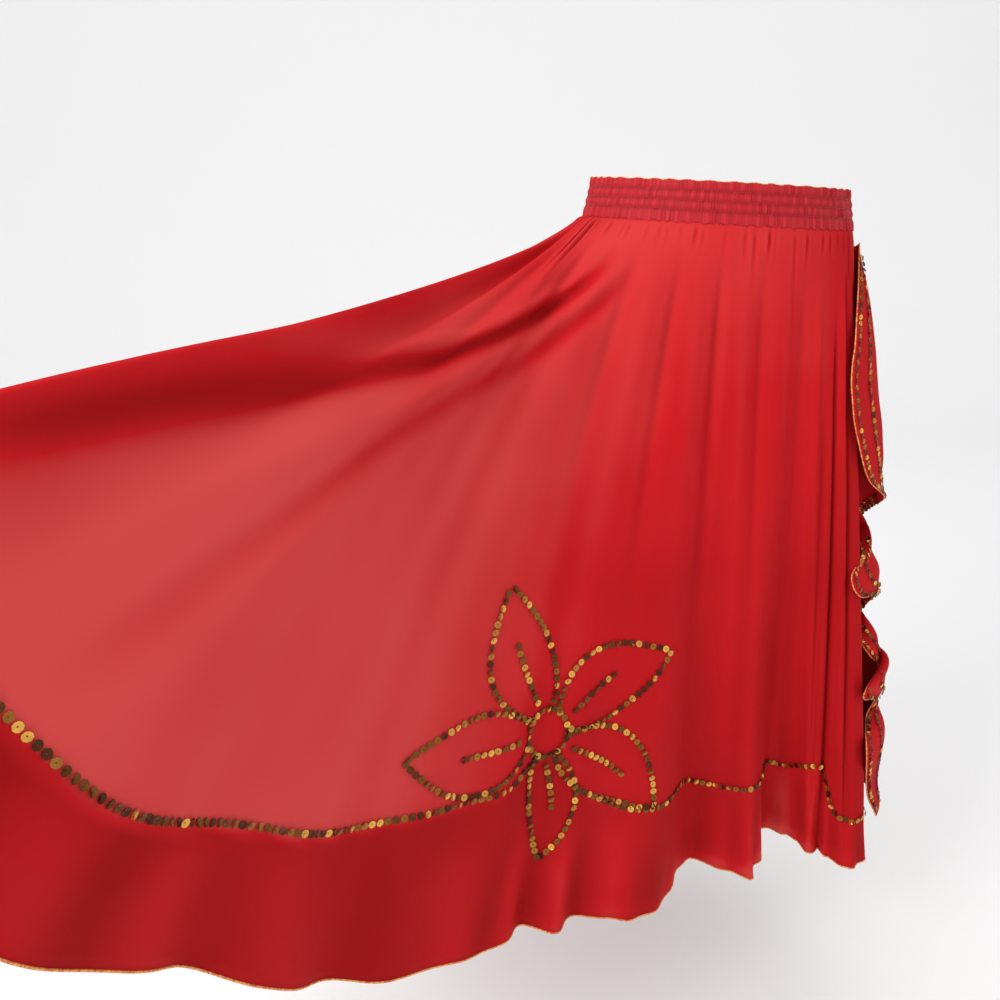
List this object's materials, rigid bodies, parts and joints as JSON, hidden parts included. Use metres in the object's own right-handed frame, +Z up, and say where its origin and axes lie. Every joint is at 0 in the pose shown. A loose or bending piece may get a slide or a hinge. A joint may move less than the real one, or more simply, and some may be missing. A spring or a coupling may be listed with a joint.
{
  "type": "belly dance skirt",
  "caption": "Long red chiffon dance skirt with a shirred waistband, held out to one side, with a tiered flounce down the other side seam.",
  "frame": {"origin": "centre of the waist opening, half way up the waistband", "axes": "+Z up out of the waist opening, the skirt's front faces -Y, and it is held out towards -X and -Y"},
  "size_m": [0.9315, 0.937, 0.8288],
  "materials": {
    "band_cloth": "matt shirred cloth",
    "chiffon": "matt sheer cloth",
    "sequins": "bronze and gold foil",
    "gold_thread": "gold thread"
  },
  "bodies": {
    "root": {"waistband": "band_cloth", "front_panel": "chiffon", "back_panel": "chiffon", "side_flounce": "chiffon"}
  },
  "joints": []
}
